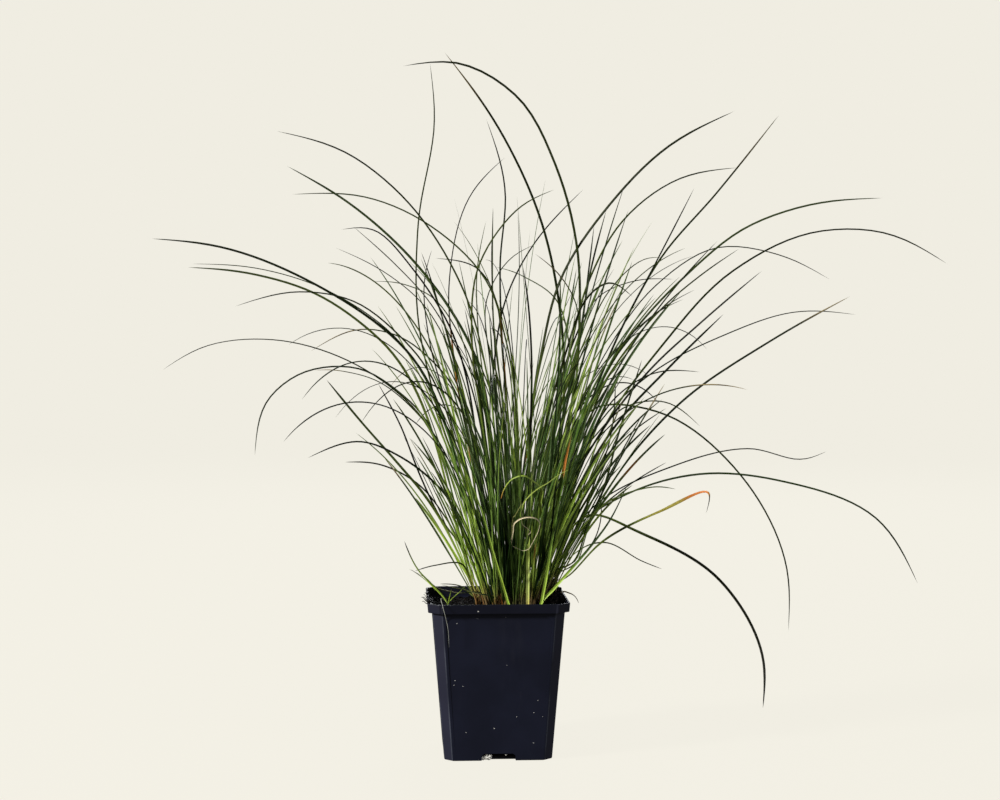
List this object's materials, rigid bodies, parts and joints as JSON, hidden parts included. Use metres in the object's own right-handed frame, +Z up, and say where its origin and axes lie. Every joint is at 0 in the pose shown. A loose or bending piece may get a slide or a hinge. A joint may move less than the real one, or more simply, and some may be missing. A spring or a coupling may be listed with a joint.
{
  "type": "potted sedge",
  "caption": "Clump of fine-leaved sedge with long arching green blades, rooted in dark soil in a small square tapered black plastic nursery pot.",
  "frame": {"origin": "on the ground under the middle of the pot's floor", "axes": "+Z up, +X to the right and -Y to the front as the plant faces the viewer; the pot's sides are square to X and Y"},
  "size_m": [0.5251, 0.441, 0.4576],
  "materials": {
    "pot": "satin",
    "soil": "matte",
    "leaf": "satin"
  },
  "bodies": {
    "root": {"pot": "pot", "soil": "soil", "tuft_01": "leaf", "tuft_02": "leaf", "tuft_03": "leaf", "tuft_04": "leaf", "tuft_05": "leaf", "tuft_06": "leaf", "tuft_07": "leaf", "tuft_08": "leaf", "tuft_09": "leaf", "tuft_10": "leaf", "tuft_11": "leaf", "tuft_12": "leaf", "tuft_13": "leaf", "tuft_14": "leaf", "tuft_15": "leaf", "tuft_16": "leaf", "tuft_17": "leaf", "tuft_18": "leaf", "tuft_19": "leaf", "tuft_20": "leaf", "tuft_21": "leaf", "tuft_22": "leaf", "tuft_23": "leaf", "tuft_24": "leaf", "tuft_25": "leaf", "tuft_26": "leaf", "tuft_27": "leaf", "tuft_28": "leaf", "tuft_29": "leaf", "tuft_30": "leaf", "tuft_31": "leaf", "tuft_32": "leaf", "tuft_33": "leaf", "tuft_34": "leaf", "tuft_35": "leaf", "tuft_36": "leaf", "tuft_37": "leaf", "tuft_38": "leaf", "tuft_39": "leaf", "tuft_40": "leaf", "tuft_41": "leaf", "tuft_42": "leaf", "tuft_43": "leaf", "tuft_44": "leaf", "tuft_45": "leaf", "tuft_46": "leaf", "tuft_47": "leaf", "tuft_seedling": "leaf"}
  },
  "joints": []
}
